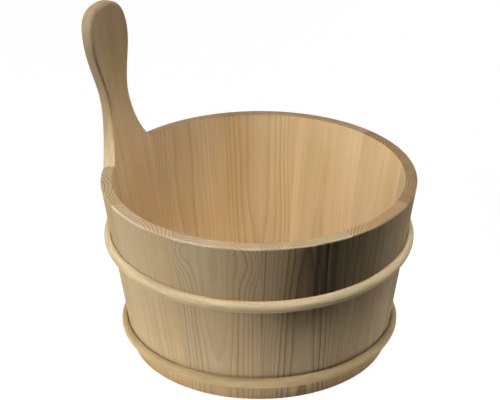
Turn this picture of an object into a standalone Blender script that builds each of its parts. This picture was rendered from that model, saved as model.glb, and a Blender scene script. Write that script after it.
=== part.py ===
"""Coopered sauna bucket: eleven staves, one of them run up into a handle, and two bent hoops.

Units are metres, +Z is up and the bucket stands on z = 0. Every piece is modelled round the bucket's
own axis, on its +X side, and is then turned to its place. The handle ends up on the -X side.
"""
import math

import bmesh
import bpy
from mathutils import Matrix, Vector

# Wall: staves between the foot and the rim
STAVE_COUNT = 11
RIM_RADIUS = 0.1310
FOOT_RADIUS = 0.1082
WALL_HEIGHT = 0.1500
WALL_THICKNESS = 0.0100
RIM_TILT = math.radians(4.5)
RIM_OUTER_ROUND = 0.0015
RIM_INNER_ROUND = 0.0010
FOOT_CHAMFER = 0.0010
STEPS_PER_STAVE = 6

# Handle stave: a stave that runs on above the rim and is sawn to the outline of the grip
HANDLE_RISE = 0.1285
HEAD_RISE = 0.1019
HEAD_WIDTH = 0.0613
NECK_RISE = 0.0472
NECK_WIDTH = 0.0348
FLARE_LEAN = math.radians(45)
GRIP_ROUND = 0.0040
HANDLE_EDGE_ROUND = 0.0008

# Bottom: edge-jointed boards in a groove
BOTTOM_HEIGHT = 0.0140
BOTTOM_THICKNESS = 0.0080
GROOVE_DEPTH = 0.0030
BOARD_COUNT = 3

# Wooden dowels, the same across the stave joints and the bottom joints
DOWEL_RADIUS = 0.0020
DOWEL_LENGTH = 0.0240
DOWEL_CHAMFER = 0.0005
LOWER_PIN_HEIGHT = 0.0450
UPPER_PIN_HEIGHT = 0.1200
BOTTOM_DOWEL_SPREAD = 0.1000

# Hoops: half-round strips closed by a scarf joint with two brads; the upper one sits a little askew
UPPER_HOOP_HEIGHT = 0.0994
UPPER_HOOP_WIDTH = 0.0108
UPPER_HOOP_TILT = math.radians(1.8)
LOWER_HOOP_HEIGHT = 0.0188
LOWER_HOOP_WIDTH = 0.0094
LOWER_HOOP_TILT = math.radians(0)
HOOP_HIGH_SIDE = math.radians(124)
HOOP_DEPTH = 0.0062
SCARF_ANGLE = math.radians(14)
UPPER_SCARF_STAVE = 9
LOWER_SCARF_STAVE = 8
BRAD_HEAD_RADIUS = 0.0015
BRAD_HEAD_DEPTH = 0.0008
BRAD_SHANK_RADIUS = 0.0007
BRAD_POINT = 0.0015
BRAD_BITE = 0.0055
BRAD_SPACING = 0.0080

# Clearances between pieces that touch
JOINT_GAP = 0.0003
HOOP_GAP = 0.0003
GROOVE_GAP = 0.0003
DOWEL_GAP = 0.0002
SCARF_GAP = 0.0003
BRAD_GAP = 0.0002

# How finely curves are divided, and how far their handles pull as a share of the stretch they span
CURVE_STEPS = 12
ROUND_STEPS = 3
HOOP_STEPS = 8
DOWEL_SIDES = 10
BRAD_SIDES = 10
WAIST_PULL = 0.33
CROWN_PULL = 0.73

# Sizes that follow from the ones above
PITCH = math.tau / STAVE_COUNT
HALF_PITCH = PITCH / 2
TAPER = (RIM_RADIUS - FOOT_RADIUS) / WALL_HEIGHT
SLOPE = math.atan(TAPER)
HANDLE_ANGLE = math.pi
HANDLE_TOP = WALL_HEIGHT + HANDLE_RISE
RIM_CREST = WALL_HEIGHT + WALL_THICKNESS * math.tan(RIM_TILT)
GROOVE_FLOOR = BOTTOM_HEIGHT - GROOVE_GAP
GROOVE_CEILING = BOTTOM_HEIGHT + BOTTOM_THICKNESS + GROOVE_GAP

# Each hoop's name, height, width, tilt and the stave that its scarf lies on
HOOPS = (
    ("upper_hoop", UPPER_HOOP_HEIGHT, UPPER_HOOP_WIDTH, UPPER_HOOP_TILT, UPPER_SCARF_STAVE),
    ("lower_hoop", LOWER_HOOP_HEIGHT, LOWER_HOOP_WIDTH, LOWER_HOOP_TILT, LOWER_SCARF_STAVE),
)


def outer_radius(z):
    return FOOT_RADIUS + TAPER * z


def inner_radius(z):
    return outer_radius(z) - WALL_THICKNESS


GROOVE_RADIUS = inner_radius(GROOVE_CEILING) + GROOVE_DEPTH
BOTTOM_RADIUS = GROOVE_RADIUS - GROOVE_GAP
STAVE_HALF_ANGLE = HALF_PITCH - JOINT_GAP / 2 / inner_radius(0)

# The middle of the footprint's box is the origin, so the bucket's axis stands a little beside it
AXIS_X = (outer_radius(HANDLE_TOP - GRIP_ROUND) - RIM_RADIUS) / 2


def add_object(name, bm):
    """Turn a bmesh into a named object with its faces pointing out."""
    bmesh.ops.recalc_face_normals(bm, faces=bm.faces)
    mesh = bpy.data.meshes.new(name)
    bm.to_mesh(mesh)
    bm.free()
    body = bpy.data.objects.new(name, mesh)
    bpy.context.scene.collection.objects.link(body)
    return body


def copy_of(body, name):
    twin = bpy.data.objects.new(name, body.data.copy())
    twin.matrix_basis = body.matrix_basis
    bpy.context.scene.collection.objects.link(twin)
    return twin


def combine(body, others, operation):
    """Boolean the other objects into the body, one after another, and remove them."""
    for other in others:
        modifier = body.modifiers.new("shape", "BOOLEAN")
        modifier.operation = operation
        modifier.solver = "EXACT"
        modifier.object = other
    bpy.context.view_layer.update()
    depsgraph = bpy.context.evaluated_depsgraph_get()
    mesh = bpy.data.meshes.new_from_object(body.evaluated_get(depsgraph))
    body.modifiers.clear()
    body.data = mesh
    for other in others:
        bpy.data.objects.remove(other)


def rounded_corner(corner, first, second, radius):
    """Points round a corner of a section, between the directions out of its two sides."""
    middle = (first + second) / 2
    reach = radius / math.cos((second - first) / 2)
    centre = (corner[0] - reach * math.cos(middle), corner[1] - reach * math.sin(middle))
    angles = [first + (second - first) * i / ROUND_STEPS for i in range(ROUND_STEPS + 1)]
    return [(centre[0] + radius * math.cos(a), centre[1] + radius * math.sin(a)) for a in angles]


def turned_sector(name, section, half_angle):
    """Solid swept by a closed section that turns about Z, as far to one side of +X as to the other."""
    bm = bmesh.new()
    start = Matrix.Rotation(-half_angle, 4, "Z")
    face = bm.faces.new([bm.verts.new(start @ Vector((r, 0, z))) for r, z in section])
    bmesh.ops.spin(bm, geom=[face, *face.edges, *face.verts], cent=(0, 0, 0), axis=(0, 0, 1),
                   angle=2 * half_angle, steps=STEPS_PER_STAVE)
    return add_object(name, bm)


def turned_round(name, section, steps, closed):
    """Full turning about Z: a ring from a closed section, or a solid from one that ends on the axis."""
    bm = bmesh.new()
    verts = [bm.verts.new((r, 0, z)) for r, z in section]
    following = verts[1:] + (verts[:1] if closed else [])
    edges = [bm.edges.new(pair) for pair in zip(verts, following)]
    bmesh.ops.spin(bm, geom=[*verts, *edges], cent=(0, 0, 0), axis=(0, 0, 1),
                   angle=math.tau, steps=steps, use_merge=True)
    bmesh.ops.remove_doubles(bm, verts=bm.verts, dist=1e-6)
    return add_object(name, bm)


def wall_outside():
    """Outer line of the wall's section, from the foot up over the rim's outer corner."""
    foot = [(outer_radius(0) - FOOT_CHAMFER, 0), (outer_radius(FOOT_CHAMFER), FOOT_CHAMFER)]
    corner = (outer_radius(WALL_HEIGHT), WALL_HEIGHT)
    return foot + rounded_corner(corner, -SLOPE, math.pi / 2 - RIM_TILT, RIM_OUTER_ROUND)


def wall_inside():
    """Inner line of the wall's section, from the rim's higher inner corner down past the groove."""
    corner = (inner_radius(RIM_CREST), RIM_CREST)
    groove = [
        (inner_radius(GROOVE_CEILING), GROOVE_CEILING),
        (GROOVE_RADIUS, GROOVE_CEILING),
        (GROOVE_RADIUS, GROOVE_FLOOR),
        (inner_radius(GROOVE_FLOOR), GROOVE_FLOOR),
    ]
    foot = [(inner_radius(FOOT_CHAMFER), FOOT_CHAMFER), (inner_radius(0) + FOOT_CHAMFER, 0)]
    rim = rounded_corner(corner, math.pi / 2 - RIM_TILT, math.pi - SLOPE, RIM_INNER_ROUND)
    return rim + groove + foot


def dowel(name, gap):
    """Chamfered dowel along Z, or the hole for it where there is a gap."""
    bm = bmesh.new()
    bmesh.ops.create_cone(bm, cap_ends=True, segments=DOWEL_SIDES, radius1=DOWEL_RADIUS + gap,
                          radius2=DOWEL_RADIUS + gap, depth=DOWEL_LENGTH + 2 * gap)
    rims = [e for e in bm.edges if abs(e.verts[0].co.z - e.verts[1].co.z) < gap + DOWEL_CHAMFER]
    bmesh.ops.bevel(bm, geom=rims, offset=DOWEL_CHAMFER, segments=1, affect="EDGES")
    return add_object(name, bm)


def stave_pin(name, gap, angle, height):
    """Dowel across a stave joint, in the middle of the wall."""
    pin = dowel(name, gap)
    distance = outer_radius(height) - WALL_THICKNESS / 2
    pin.location = Matrix.Rotation(angle, 3, "Z") @ Vector((distance, 0, height))
    pin.rotation_euler = (math.pi / 2, 0, angle)
    return pin


def pin_holes():
    """Holes for the four pins in the two edges of a stave."""
    places = [(side * HALF_PITCH, height)
              for side in (-1, 1) for height in (LOWER_PIN_HEIGHT, UPPER_PIN_HEIGHT)]
    return [stave_pin("pin_hole", DOWEL_GAP, angle, height) for angle, height in places]


def plain_stave():
    stave = turned_sector("stave", wall_outside() + wall_inside(), STAVE_HALF_ANGLE)
    combine(stave, pin_holes(), "DIFFERENCE")
    return stave


def curve(start, start_handle, end_handle, end):
    """Points of a cubic curve, without its last one."""
    points = []
    for i in range(CURVE_STEPS):
        t = i / CURVE_STEPS
        near = start * (1 - t) ** 3 + start_handle * 3 * t * (1 - t) ** 2
        points.append(near + end_handle * 3 * t ** 2 * (1 - t) + end * t ** 3)
    return points


def grip_share(z):
    """How far a height belongs to the grip: 0 up to the rim, rising smoothly to 1 at the neck."""
    share = min(max((z - WALL_HEIGHT) / NECK_RISE, 0), 1)
    return share * share * (3 - 2 * share)


def stave_half_width(z):
    """Half width of a stave in the middle of its thickness."""
    return (outer_radius(z) - WALL_THICKNESS / 2) * math.sin(STAVE_HALF_ANGLE)


def on_stave(across, z, depth):
    """Point of a stave on the +X side, so far across it and so deep behind its inner face."""
    distance = inner_radius(z) + depth
    return Vector((math.sqrt(distance ** 2 - across ** 2), across, z))


def handle_outline():
    """Right half of the handle's outline, from the foot to the crest, as (half width, height)."""
    foot, chamfer, rim = [Vector((stave_half_width(z), z)) for z in (0, FOOT_CHAMFER, WALL_HEIGHT)]
    neck = Vector((NECK_WIDTH / 2, WALL_HEIGHT + NECK_RISE))
    head = Vector((HEAD_WIDTH / 2, WALL_HEIGHT + HEAD_RISE))
    crest = Vector((0, HANDLE_TOP))
    flare = Vector((-math.sin(FLARE_LEAN), math.cos(FLARE_LEAN))) * WAIST_PULL * NECK_RISE
    below_neck = Vector((0, WAIST_PULL * NECK_RISE))
    above_neck = Vector((0, WAIST_PULL * (HEAD_RISE - NECK_RISE)))
    crown_side = Vector((0, CROWN_PULL * (HANDLE_RISE - HEAD_RISE)))
    crown_top = Vector((CROWN_PULL * HEAD_WIDTH / 2, 0))
    outline = [foot, chamfer]
    outline += curve(rim, rim + flare, neck - below_neck, neck)
    outline += curve(neck, neck + above_neck, head - above_neck, head)
    outline += curve(head, head + crown_side, crest + crown_top, crest)
    return outline + [crest]


def outward(outline, i):
    """Direction out of the outline at a point; level up to the rim and upright on the crest."""
    if outline[i].y <= WALL_HEIGHT:
        return Vector((1, 0))
    if i == len(outline) - 1:
        return Vector((0, 1))
    along = (outline[i + 1] - outline[i - 1]).normalized()
    return Vector((along.y, -along.x))


def handle_loop(at_back, turn):
    """Loop round the handle, part of the way round its rounded inner or back edge."""
    outline = handle_outline()
    right = []
    for i, point in enumerate(outline):
        share = grip_share(point.y)
        rounding = HANDLE_EDGE_ROUND + (GRIP_ROUND - HANDLE_EDGE_ROUND) * share
        depth = rounding * (1 - math.cos(turn))
        if at_back:
            depth = WALL_THICKNESS - depth
        if i == 0:
            depth = min(max(depth, FOOT_CHAMFER), WALL_THICKNESS - FOOT_CHAMFER)
        edge = point - outward(outline, i) * rounding * (1 - math.sin(turn))
        splay = (depth - WALL_THICKNESS / 2) * math.sin(STAVE_HALF_ANGLE) * (1 - share)
        right.append(on_stave(edge.x + splay, edge.y, depth))
    left = [Vector((p.x, -p.y, p.z)) for p in reversed(right[:-1])]
    return right + left


def cover(bm, loop):
    """Close the handle's inner face or back with rows across it, and return the lowest row."""
    rows = []
    for right, left in zip(loop[:len(loop) // 2], reversed(loop)):
        reach = math.hypot(right.co.x, right.co.y)
        half_turn = math.atan2(right.co.y, right.co.x)
        turns = [half_turn * (1 - 2 * i / STEPS_PER_STAVE) for i in range(1, STEPS_PER_STAVE)]
        between = [bm.verts.new((reach * math.cos(a), reach * math.sin(a), right.co.z)) for a in turns]
        rows.append([right, *between, left])
    for low, high in zip(rows, rows[1:]):
        for i in range(STEPS_PER_STAVE):
            bm.faces.new((low[i], low[i + 1], high[i + 1], high[i]))
    crest = loop[len(loop) // 2]
    for i in range(STEPS_PER_STAVE):
        bm.faces.new((rows[-1][i], rows[-1][i + 1], crest))
    return rows[0]


def handle_blank():
    """Stave with the wall's section from the foot to the crest, its edges rounded towards the grip."""
    turns = [math.pi / 2 * i / ROUND_STEPS for i in range(ROUND_STEPS + 1)]
    stations = [(False, turn) for turn in turns] + [(True, turn) for turn in reversed(turns)]
    bm = bmesh.new()
    loops = [[bm.verts.new(point) for point in handle_loop(*station)] for station in stations]
    for near, far in zip(loops, loops[1:]):
        for i in range(1, len(near)):
            bm.faces.new((near[i - 1], near[i], far[i], far[i - 1]))
    inner_foot = cover(bm, loops[0])
    back_foot = cover(bm, loops[-1])
    left_foot = [loop[-1] for loop in loops[1:-1]]
    right_foot = [loop[0] for loop in loops[1:-1]]
    bm.faces.new(inner_foot + left_foot + back_foot[::-1] + right_foot[::-1])
    return add_object("handle_stave", bm)


def handle_stave():
    """The long stave with its groove for the bottom and its pin holes."""
    stave = handle_blank()
    groove = [(inner_radius(0) - GROOVE_DEPTH, GROOVE_FLOOR), (GROOVE_RADIUS, GROOVE_FLOOR),
              (GROOVE_RADIUS, GROOVE_CEILING), (inner_radius(0) - GROOVE_DEPTH, GROOVE_CEILING)]
    combine(stave, [turned_sector("groove", groove, HALF_PITCH), *pin_holes()], "DIFFERENCE")
    return stave


def bottom_dowel(name, gap, along, joint):
    pin = dowel(name, gap)
    pin.location = (along, joint, BOTTOM_HEIGHT + BOTTOM_THICKNESS / 2)
    pin.rotation_euler = (math.pi / 2, 0, 0)
    return pin


def bottom_joints():
    """Distances from the axis of the joints between the bottom boards."""
    width = 2 * BOTTOM_RADIUS / BOARD_COUNT
    return [(i - BOARD_COUNT / 2) * width for i in range(1, BOARD_COUNT)]


def trim(bm, distance, outward_y):
    """Cut away what lies beyond a plane across Y and close the cut."""
    geometry = [*bm.verts, *bm.edges, *bm.faces]
    found = bmesh.ops.bisect_plane(bm, geom=geometry, plane_co=(0, distance, 0),
                                   plane_no=(0, outward_y, 0), clear_outer=True)
    cut = [part for part in found["geom_cut"] if isinstance(part, bmesh.types.BMEdge)]
    bmesh.ops.contextual_create(bm, geom=cut)


def bottom_boards():
    """The round bottom, sawn into boards that are dowelled edge to edge."""
    top = BOTTOM_HEIGHT + BOTTOM_THICKNESS
    section = [(0, top), (BOTTOM_RADIUS, top), (BOTTOM_RADIUS, BOTTOM_HEIGHT), (0, BOTTOM_HEIGHT)]
    whole = turned_round("bottom", section, STAVE_COUNT * STEPS_PER_STAVE, False)
    joints = bottom_joints()
    boards = []
    for i in range(BOARD_COUNT):
        bm = bmesh.new()
        bm.from_mesh(whole.data)
        edges = []
        if i > 0:
            edges.append(joints[i - 1])
            trim(bm, joints[i - 1] + JOINT_GAP / 2, -1)
        if i < BOARD_COUNT - 1:
            edges.append(joints[i])
            trim(bm, joints[i] - JOINT_GAP / 2, 1)
        board = add_object(f"bottom_board_{i + 1}", bm)
        holes = [bottom_dowel("hole", DOWEL_GAP, side * BOTTOM_DOWEL_SPREAD / 2, edge)
                 for edge in edges for side in (-1, 1)]
        combine(board, holes, "DIFFERENCE")
        boards.append(board)
    bpy.data.objects.remove(whole)
    return boards


def bottom_dowels():
    places = [(side * BOTTOM_DOWEL_SPREAD / 2, joint) for joint in bottom_joints() for side in (-1, 1)]
    return [bottom_dowel(f"bottom_dowel_{i + 1}", 0, *place) for i, place in enumerate(places)]


def hoop_section(height, width):
    """Half-round section that lies against the sloping wall."""
    base = Vector((outer_radius(height), height))
    up = Vector((math.sin(SLOPE), math.cos(SLOPE)))
    out = Vector((math.cos(SLOPE), -math.sin(SLOPE)))
    turns = [math.pi * (i / HOOP_STEPS - 0.5) for i in range(HOOP_STEPS + 1)]
    return [base + out * (HOOP_GAP + HOOP_DEPTH * math.cos(turn)) + up * width / 2 * math.sin(turn)
            for turn in turns]


def hoop_rise(height, tilt, direction):
    """How far a tilted hoop lies above its middle height, in a direction from the axis."""
    return outer_radius(height) * math.tan(tilt) * math.cos(direction - HOOP_HIGH_SIDE)


def set_askew(ring, height, tilt, turn):
    """Slide a ring along the sloping wall, up on its hoop's high side and down on the other."""
    for vertex in ring.data.vertices:
        x, y, z = vertex.co
        rise = hoop_rise(height, tilt, turn + math.atan2(y, x))
        growth = 1 + TAPER * rise / math.hypot(x, y)
        vertex.co = (x * growth, y * growth, z + rise)


def scarf_cut(height, width):
    """Thin slanting slot that parts the hoop's two ends."""
    bm = bmesh.new()
    bmesh.ops.create_cube(bm, size=1)
    length = 3 * HOOP_DEPTH / math.sin(SCARF_ANGLE)
    bmesh.ops.scale(bm, vec=(SCARF_GAP, length, 2 * width), verts=bm.verts)
    slot = add_object("scarf", bm)
    slot.rotation_euler.z = SCARF_ANGLE
    slot.location = (outer_radius(height) + HOOP_GAP + HOOP_DEPTH / 2, 0, height)
    return slot


def brad(name, gap, height, side):
    """Brad through the crest of a hoop into the stave, or the hole for it where there is a gap."""
    top = HOOP_GAP + HOOP_DEPTH
    under_head = top - BRAD_HEAD_DEPTH - gap
    shank = BRAD_SHANK_RADIUS + gap
    head = BRAD_HEAD_RADIUS + gap
    above = top + (HOOP_DEPTH if gap else 0)
    section = [(0, above), (head, above), (head, under_head), (shank, under_head),
               (shank, BRAD_POINT - BRAD_BITE), (0, -BRAD_BITE - gap)]
    nail = turned_round(name, section, BRAD_SIDES, False)
    angle = side * BRAD_SPACING / 2 / outer_radius(height)
    nail.location = Matrix.Rotation(angle, 3, "Z") @ Vector((outer_radius(height), 0, height))
    nail.rotation_euler = (0, math.pi / 2 + SLOPE, angle)
    return nail


def brad_holes(height):
    return [brad("brad_hole", BRAD_GAP, height, side) for side in (-1, 1)]


def hoop(name, height, width, tilt, turn):
    """Ring with its scarf on the +X side, which is later turned to its place."""
    ring = turned_round(name, hoop_section(height, width), STAVE_COUNT * STEPS_PER_STAVE, True)
    set_askew(ring, height, tilt, turn)
    scarf_height = height + hoop_rise(height, tilt, turn)
    combine(ring, [scarf_cut(scarf_height, width), *brad_holes(scarf_height)], "DIFFERENCE")
    return ring


def finish(name, colour, roughness, metallic):
    material = bpy.data.materials.new(name)
    material.use_nodes = True
    shader = material.node_tree.nodes["Principled BSDF"]
    shader.inputs["Base Color"].default_value = (*colour, 1)
    shader.inputs["Roughness"].default_value = roughness
    shader.inputs["Metallic"].default_value = metallic
    return material


def place(body, turn, axis, material):
    """Turn a piece about the bucket's axis to its place and give it its finish."""
    body.matrix_basis = Matrix.Rotation(turn, 4, "Z") @ body.matrix_basis
    body.parent = axis
    body.data.materials.clear()
    body.data.materials.append(material)
    body.data.shade_smooth()
    body.data.set_sharp_from_angle(angle=math.radians(32))


def stave_turn(number):
    """Direction of a stave, counted anticlockwise from the handle, which is number 0."""
    return HANDLE_ANGLE + number * PITCH


def build_wall(axis):
    pine = finish("stave_pine", (0.60, 0.42, 0.24), 0.62, 0)
    grip = finish("handle_pine", (0.56, 0.40, 0.23), 0.60, 0)
    beech = finish("pin_beech", (0.62, 0.46, 0.30), 0.65, 0)
    pattern = plain_stave()
    scarf_heights = {number: height + hoop_rise(height, tilt, stave_turn(number))
                     for name, height, width, tilt, number in HOOPS}
    for number in range(1, STAVE_COUNT):
        stave = copy_of(pattern, f"stave_{number:02d}")
        if number in scarf_heights:
            combine(stave, brad_holes(scarf_heights[number]), "DIFFERENCE")
        place(stave, stave_turn(number), axis, pine)
    bpy.data.objects.remove(pattern)
    place(handle_stave(), stave_turn(0), axis, grip)
    for number in range(STAVE_COUNT):
        for level, height in (("lower", LOWER_PIN_HEIGHT), ("upper", UPPER_PIN_HEIGHT)):
            pin = stave_pin(f"pin_{number + 1:02d}_{level}", 0, HALF_PITCH, height)
            place(pin, stave_turn(number), axis, beech)


def build_bottom(axis):
    pine = finish("bottom_pine", (0.58, 0.40, 0.22), 0.66, 0)
    beech = finish("dowel_beech", (0.62, 0.46, 0.30), 0.65, 0)
    for board in bottom_boards():
        place(board, 0, axis, pine)
    for pin in bottom_dowels():
        place(pin, 0, axis, beech)


def build_hoops(axis):
    bent_wood = finish("hoop_bent_wood", (0.66, 0.51, 0.32), 0.55, 0)
    steel = finish("brad_steel", (0.55, 0.54, 0.52), 0.35, 1)
    for name, height, width, tilt, number in HOOPS:
        turn = stave_turn(number)
        place(hoop(name, height, width, tilt, turn), turn, axis, bent_wood)
        scarf_height = height + hoop_rise(height, tilt, turn)
        for i, side in enumerate((-1, 1)):
            place(brad(f"{name}_brad_{i + 1}", 0, scarf_height, side), turn, axis, steel)


def main():
    for old in list(bpy.data.objects):
        bpy.data.objects.remove(old)
    axis = bpy.data.objects.new("bucket_axis", None)
    axis.location.x = AXIS_X
    bpy.context.scene.collection.objects.link(axis)
    build_wall(axis)
    build_bottom(axis)
    build_hoops(axis)


main()
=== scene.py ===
import math

import bmesh
import bpy
from mathutils import Matrix, Vector


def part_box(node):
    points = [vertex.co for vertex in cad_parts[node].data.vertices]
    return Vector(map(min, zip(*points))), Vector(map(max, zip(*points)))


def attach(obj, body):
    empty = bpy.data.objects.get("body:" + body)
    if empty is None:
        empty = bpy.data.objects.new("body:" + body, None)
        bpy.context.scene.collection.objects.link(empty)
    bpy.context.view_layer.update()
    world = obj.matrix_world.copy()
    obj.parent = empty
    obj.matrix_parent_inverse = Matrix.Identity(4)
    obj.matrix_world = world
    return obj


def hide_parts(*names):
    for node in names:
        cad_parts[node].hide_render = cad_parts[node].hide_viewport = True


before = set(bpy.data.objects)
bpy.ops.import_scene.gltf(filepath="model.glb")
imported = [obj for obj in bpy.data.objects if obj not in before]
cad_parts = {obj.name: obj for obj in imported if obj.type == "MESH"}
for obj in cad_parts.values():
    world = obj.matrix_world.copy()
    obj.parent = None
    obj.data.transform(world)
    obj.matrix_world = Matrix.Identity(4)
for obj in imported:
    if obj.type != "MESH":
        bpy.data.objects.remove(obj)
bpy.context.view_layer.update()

# Wall, in metres
STAVE_COUNT = 11
RIM_RADIUS = 0.1310
FOOT_RADIUS = 0.1082
WALL_HEIGHT = 0.1500
WALL_THICKNESS = 0.0100
RIM_TILT = math.radians(4.5)
RIM_OUTER_ROUND = 0.0015
RIM_INNER_ROUND = 0.0010
FOOT_ROUND = 0.0010
JOINT_GAP = 0.00006
STAVE_EDGE = 0.00014

# Handle stave
HANDLE_RISE = 0.1285
HEAD_RISE = 0.1019
HEAD_WIDTH = 0.0613
NECK_RISE = 0.0472
NECK_WIDTH = 0.0348
FLARE_LEAN = math.radians(45)
GRIP_ROUND = 0.0028
HANDLE_EDGE_ROUND = 0.0004
WAIST_PULL = 0.33
CROWN_PULL = 0.73

# Bottom boards
BOTTOM_HEIGHT = 0.0140
BOTTOM_THICKNESS = 0.0080
BOTTOM_GAP = 0.0003
GROOVE_DEPTH = 0.0030
BOARD_COUNT = 3
BOARD_EDGE = 0.0007

# Hoops
UPPER_HOOP_HEIGHT = 0.0994
UPPER_HOOP_WIDTH = 0.0108
UPPER_HOOP_BACK = 0.0006
UPPER_HOOP_TILT = math.radians(1.8)
UPPER_SCARF_STAVE = 9
LOWER_HOOP_HEIGHT = 0.0188
LOWER_HOOP_WIDTH = 0.0094
LOWER_HOOP_BACK = 0.0013
LOWER_HOOP_TILT = math.radians(0)
LOWER_SCARF_STAVE = 8
HOOP_HIGH_SIDE = math.radians(124)
HOOP_DEPTH = 0.0062
HOOP_GAP = 0.0001
SCARF_ANGLE = math.radians(14)
SCARF_GAP = 0.0003

# Brads; the dome's rings are shares of the head's radius, from and to, and of its depth to sink
BRAD_HEAD_RADIUS = 0.0015
BRAD_HEAD_DEPTH = 0.0008
BRAD_HOLE_GAP = 0.0001
BRAD_SPACING = 0.0080
DOME_INSET = 0.35
DOME_RINGS = ((0.95, 1.05, 0.25), (0.50, 0.95, 0.06))

# How finely curves are divided, and how near points count as one
STAVE_STEPS = 18
CURVE_STEPS = 24
ROUND_STEPS = 6
FOOT_STEPS = 3
BOARD_STEPS = 198
HOOP_STEPS = 264
HOOP_SECTION_STEPS = 24
BRAD_STEPS = 32
BRAD_HOLE_STEPS = 24
MERGE_DISTANCE = 0.000001
SAME_PLACE = 0.00001

# Shading: angles between faces in degrees, and the weight of large faces
SOFT_SHADING = 50
HANDLE_SHADING = 35
HOOP_SHADING = 35
BRAD_SHADING = 40
SHARP_EDGE = 30
FACE_WEIGHT = 80

# Sizes that follow from the ones above
PITCH = math.tau / STAVE_COUNT
HALF_PITCH = PITCH / 2
TAPER = (RIM_RADIUS - FOOT_RADIUS) / WALL_HEIGHT
SLOPE = math.atan(TAPER)
HANDLE_TOP = WALL_HEIGHT + HANDLE_RISE
RIM_CREST = WALL_HEIGHT + WALL_THICKNESS * math.tan(RIM_TILT)
RIM_PLANE = WALL_HEIGHT + RIM_RADIUS * math.tan(RIM_TILT)
GROOVE_FLOOR = BOTTOM_HEIGHT - BOTTOM_GAP
GROOVE_CEILING = BOTTOM_HEIGHT + BOTTOM_THICKNESS + BOTTOM_GAP
HOOP_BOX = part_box("lower_hoop")
AXIS_X = (HOOP_BOX[0].x + HOOP_BOX[1].x) / 2


def outer_radius(z):
    return FOOT_RADIUS + TAPER * z


def inner_radius(z):
    return outer_radius(z) - WALL_THICKNESS


def stave_turn(number):
    """Direction of a stave from the axis; the handle is number 0, on the -X side."""
    return math.pi + number * PITCH


GROOVE_RADIUS = inner_radius(GROOVE_CEILING) + GROOVE_DEPTH
BOTTOM_RADIUS = GROOVE_RADIUS - BOTTOM_GAP
STAVE_HALF_ANGLE = HALF_PITCH - JOINT_GAP / 2 / inner_radius(0)


# Modelling by hand

def start():
    """Leave edit mode with nothing selected, ready for a new piece."""
    if bpy.context.object and bpy.context.object.mode != "OBJECT":
        bpy.ops.object.mode_set(mode="OBJECT")
    bpy.ops.object.select_all(action="DESELECT")


def pick(piece):
    """Make a piece the active one and the only one selected."""
    start()
    bpy.context.view_layer.objects.active = piece
    piece.select_set(True)


def edit(piece):
    pick(piece)
    bpy.ops.object.mode_set(mode="EDIT")


def leave_edit():
    bpy.ops.object.mode_set(mode="OBJECT")
    return bpy.context.object


def choose_all():
    bpy.ops.mesh.select_all(action="SELECT")


def choose_points(test):
    """Select the points of the edited piece whose place passes a test."""
    mesh = bpy.context.object.data
    bpy.ops.mesh.select_mode(type="VERT")
    bpy.ops.mesh.select_all(action="DESELECT")
    points = bmesh.from_edit_mesh(mesh)
    for point in points.verts:
        point.select_set(test(point.co))
    points.select_flush_mode()
    bmesh.update_edit_mesh(mesh)


def choose_faces(test):
    """Select the faces of the edited piece whose middle and direction pass a test."""
    mesh = bpy.context.object.data
    bpy.ops.mesh.select_mode(type="FACE")
    bpy.ops.mesh.select_all(action="DESELECT")
    faces = bmesh.from_edit_mesh(mesh)
    for face in faces.faces:
        face.select_set(test(face.calc_center_median(), face.normal))
    bmesh.update_edit_mesh(mesh)


def face_outwards():
    """Point all faces of the edited piece outwards."""
    choose_all()
    bpy.ops.mesh.normals_make_consistent(inside=False)


def close_up():
    """Merge the doubled points of the edited piece and point its faces outwards."""
    choose_all()
    bpy.ops.mesh.remove_doubles(threshold=MERGE_DISTANCE)
    face_outwards()


def settle(piece):
    """Apply a piece's place, turn and size, so that its object stands at the origin."""
    pick(piece)
    bpy.ops.object.transform_apply(location=True, rotation=True, scale=True)


def modify(piece, kind, **settings):
    """Add a modifier, set it and apply it."""
    pick(piece)
    modifier = piece.modifiers.new(kind.lower(), kind)
    for name, value in settings.items():
        setattr(modifier, name, value)
    bpy.ops.object.modifier_apply(modifier=modifier.name)


def cut_out(piece, tool):
    modify(piece, "BOOLEAN", operation="DIFFERENCE", solver="EXACT", object=tool)
    bpy.data.objects.remove(tool)


def shade(piece, degrees):
    """Shade a piece smoothly where its faces meet at less than this angle."""
    pick(piece)
    bpy.ops.object.shade_smooth_by_angle(angle=math.radians(degrees))


def even_shading(piece):
    """Let the large faces of a piece look flat between its rounded edges."""
    modify(piece, "WEIGHTED_NORMAL", keep_sharp=True, weight=FACE_WEIGHT)


def soften(piece, width):
    """Break the sharp edges of a piece a little."""
    modify(piece, "BEVEL", width=width, segments=2, limit_method="ANGLE",
           angle_limit=math.radians(SHARP_EDGE), miter_outer="MITER_ARC")
    shade(piece, SOFT_SHADING)
    even_shading(piece)


def copy_piece(piece, name):
    pick(piece)
    bpy.ops.object.duplicate(linked=False)
    twin = bpy.context.object
    twin.name = name
    twin.data.name = name
    return twin


def turn_sector(half_angle):
    """Turn the flat section being edited about the axis, as far to one side of +X as to the other."""
    piece = leave_edit()
    piece.rotation_euler.z = -half_angle
    settle(piece)
    edit(piece)
    choose_all()
    bpy.ops.mesh.spin(steps=STAVE_STEPS, angle=-2 * half_angle, center=(0, 0, 0), axis=(0, 0, 1))
    close_up()


def flat_section(name, inner, outer, floor, ceiling):
    """Upright rectangle on the +X side of the axis, left in edit mode."""
    start()
    bpy.ops.mesh.primitive_plane_add(size=1, rotation=(math.pi / 2, 0, 0),
                                     location=((inner + outer) / 2, 0, (floor + ceiling) / 2))
    piece = bpy.context.object
    piece.name = name
    piece.scale = (outer - inner, ceiling - floor, 1)
    settle(piece)
    edit(piece)
    return piece


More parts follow.
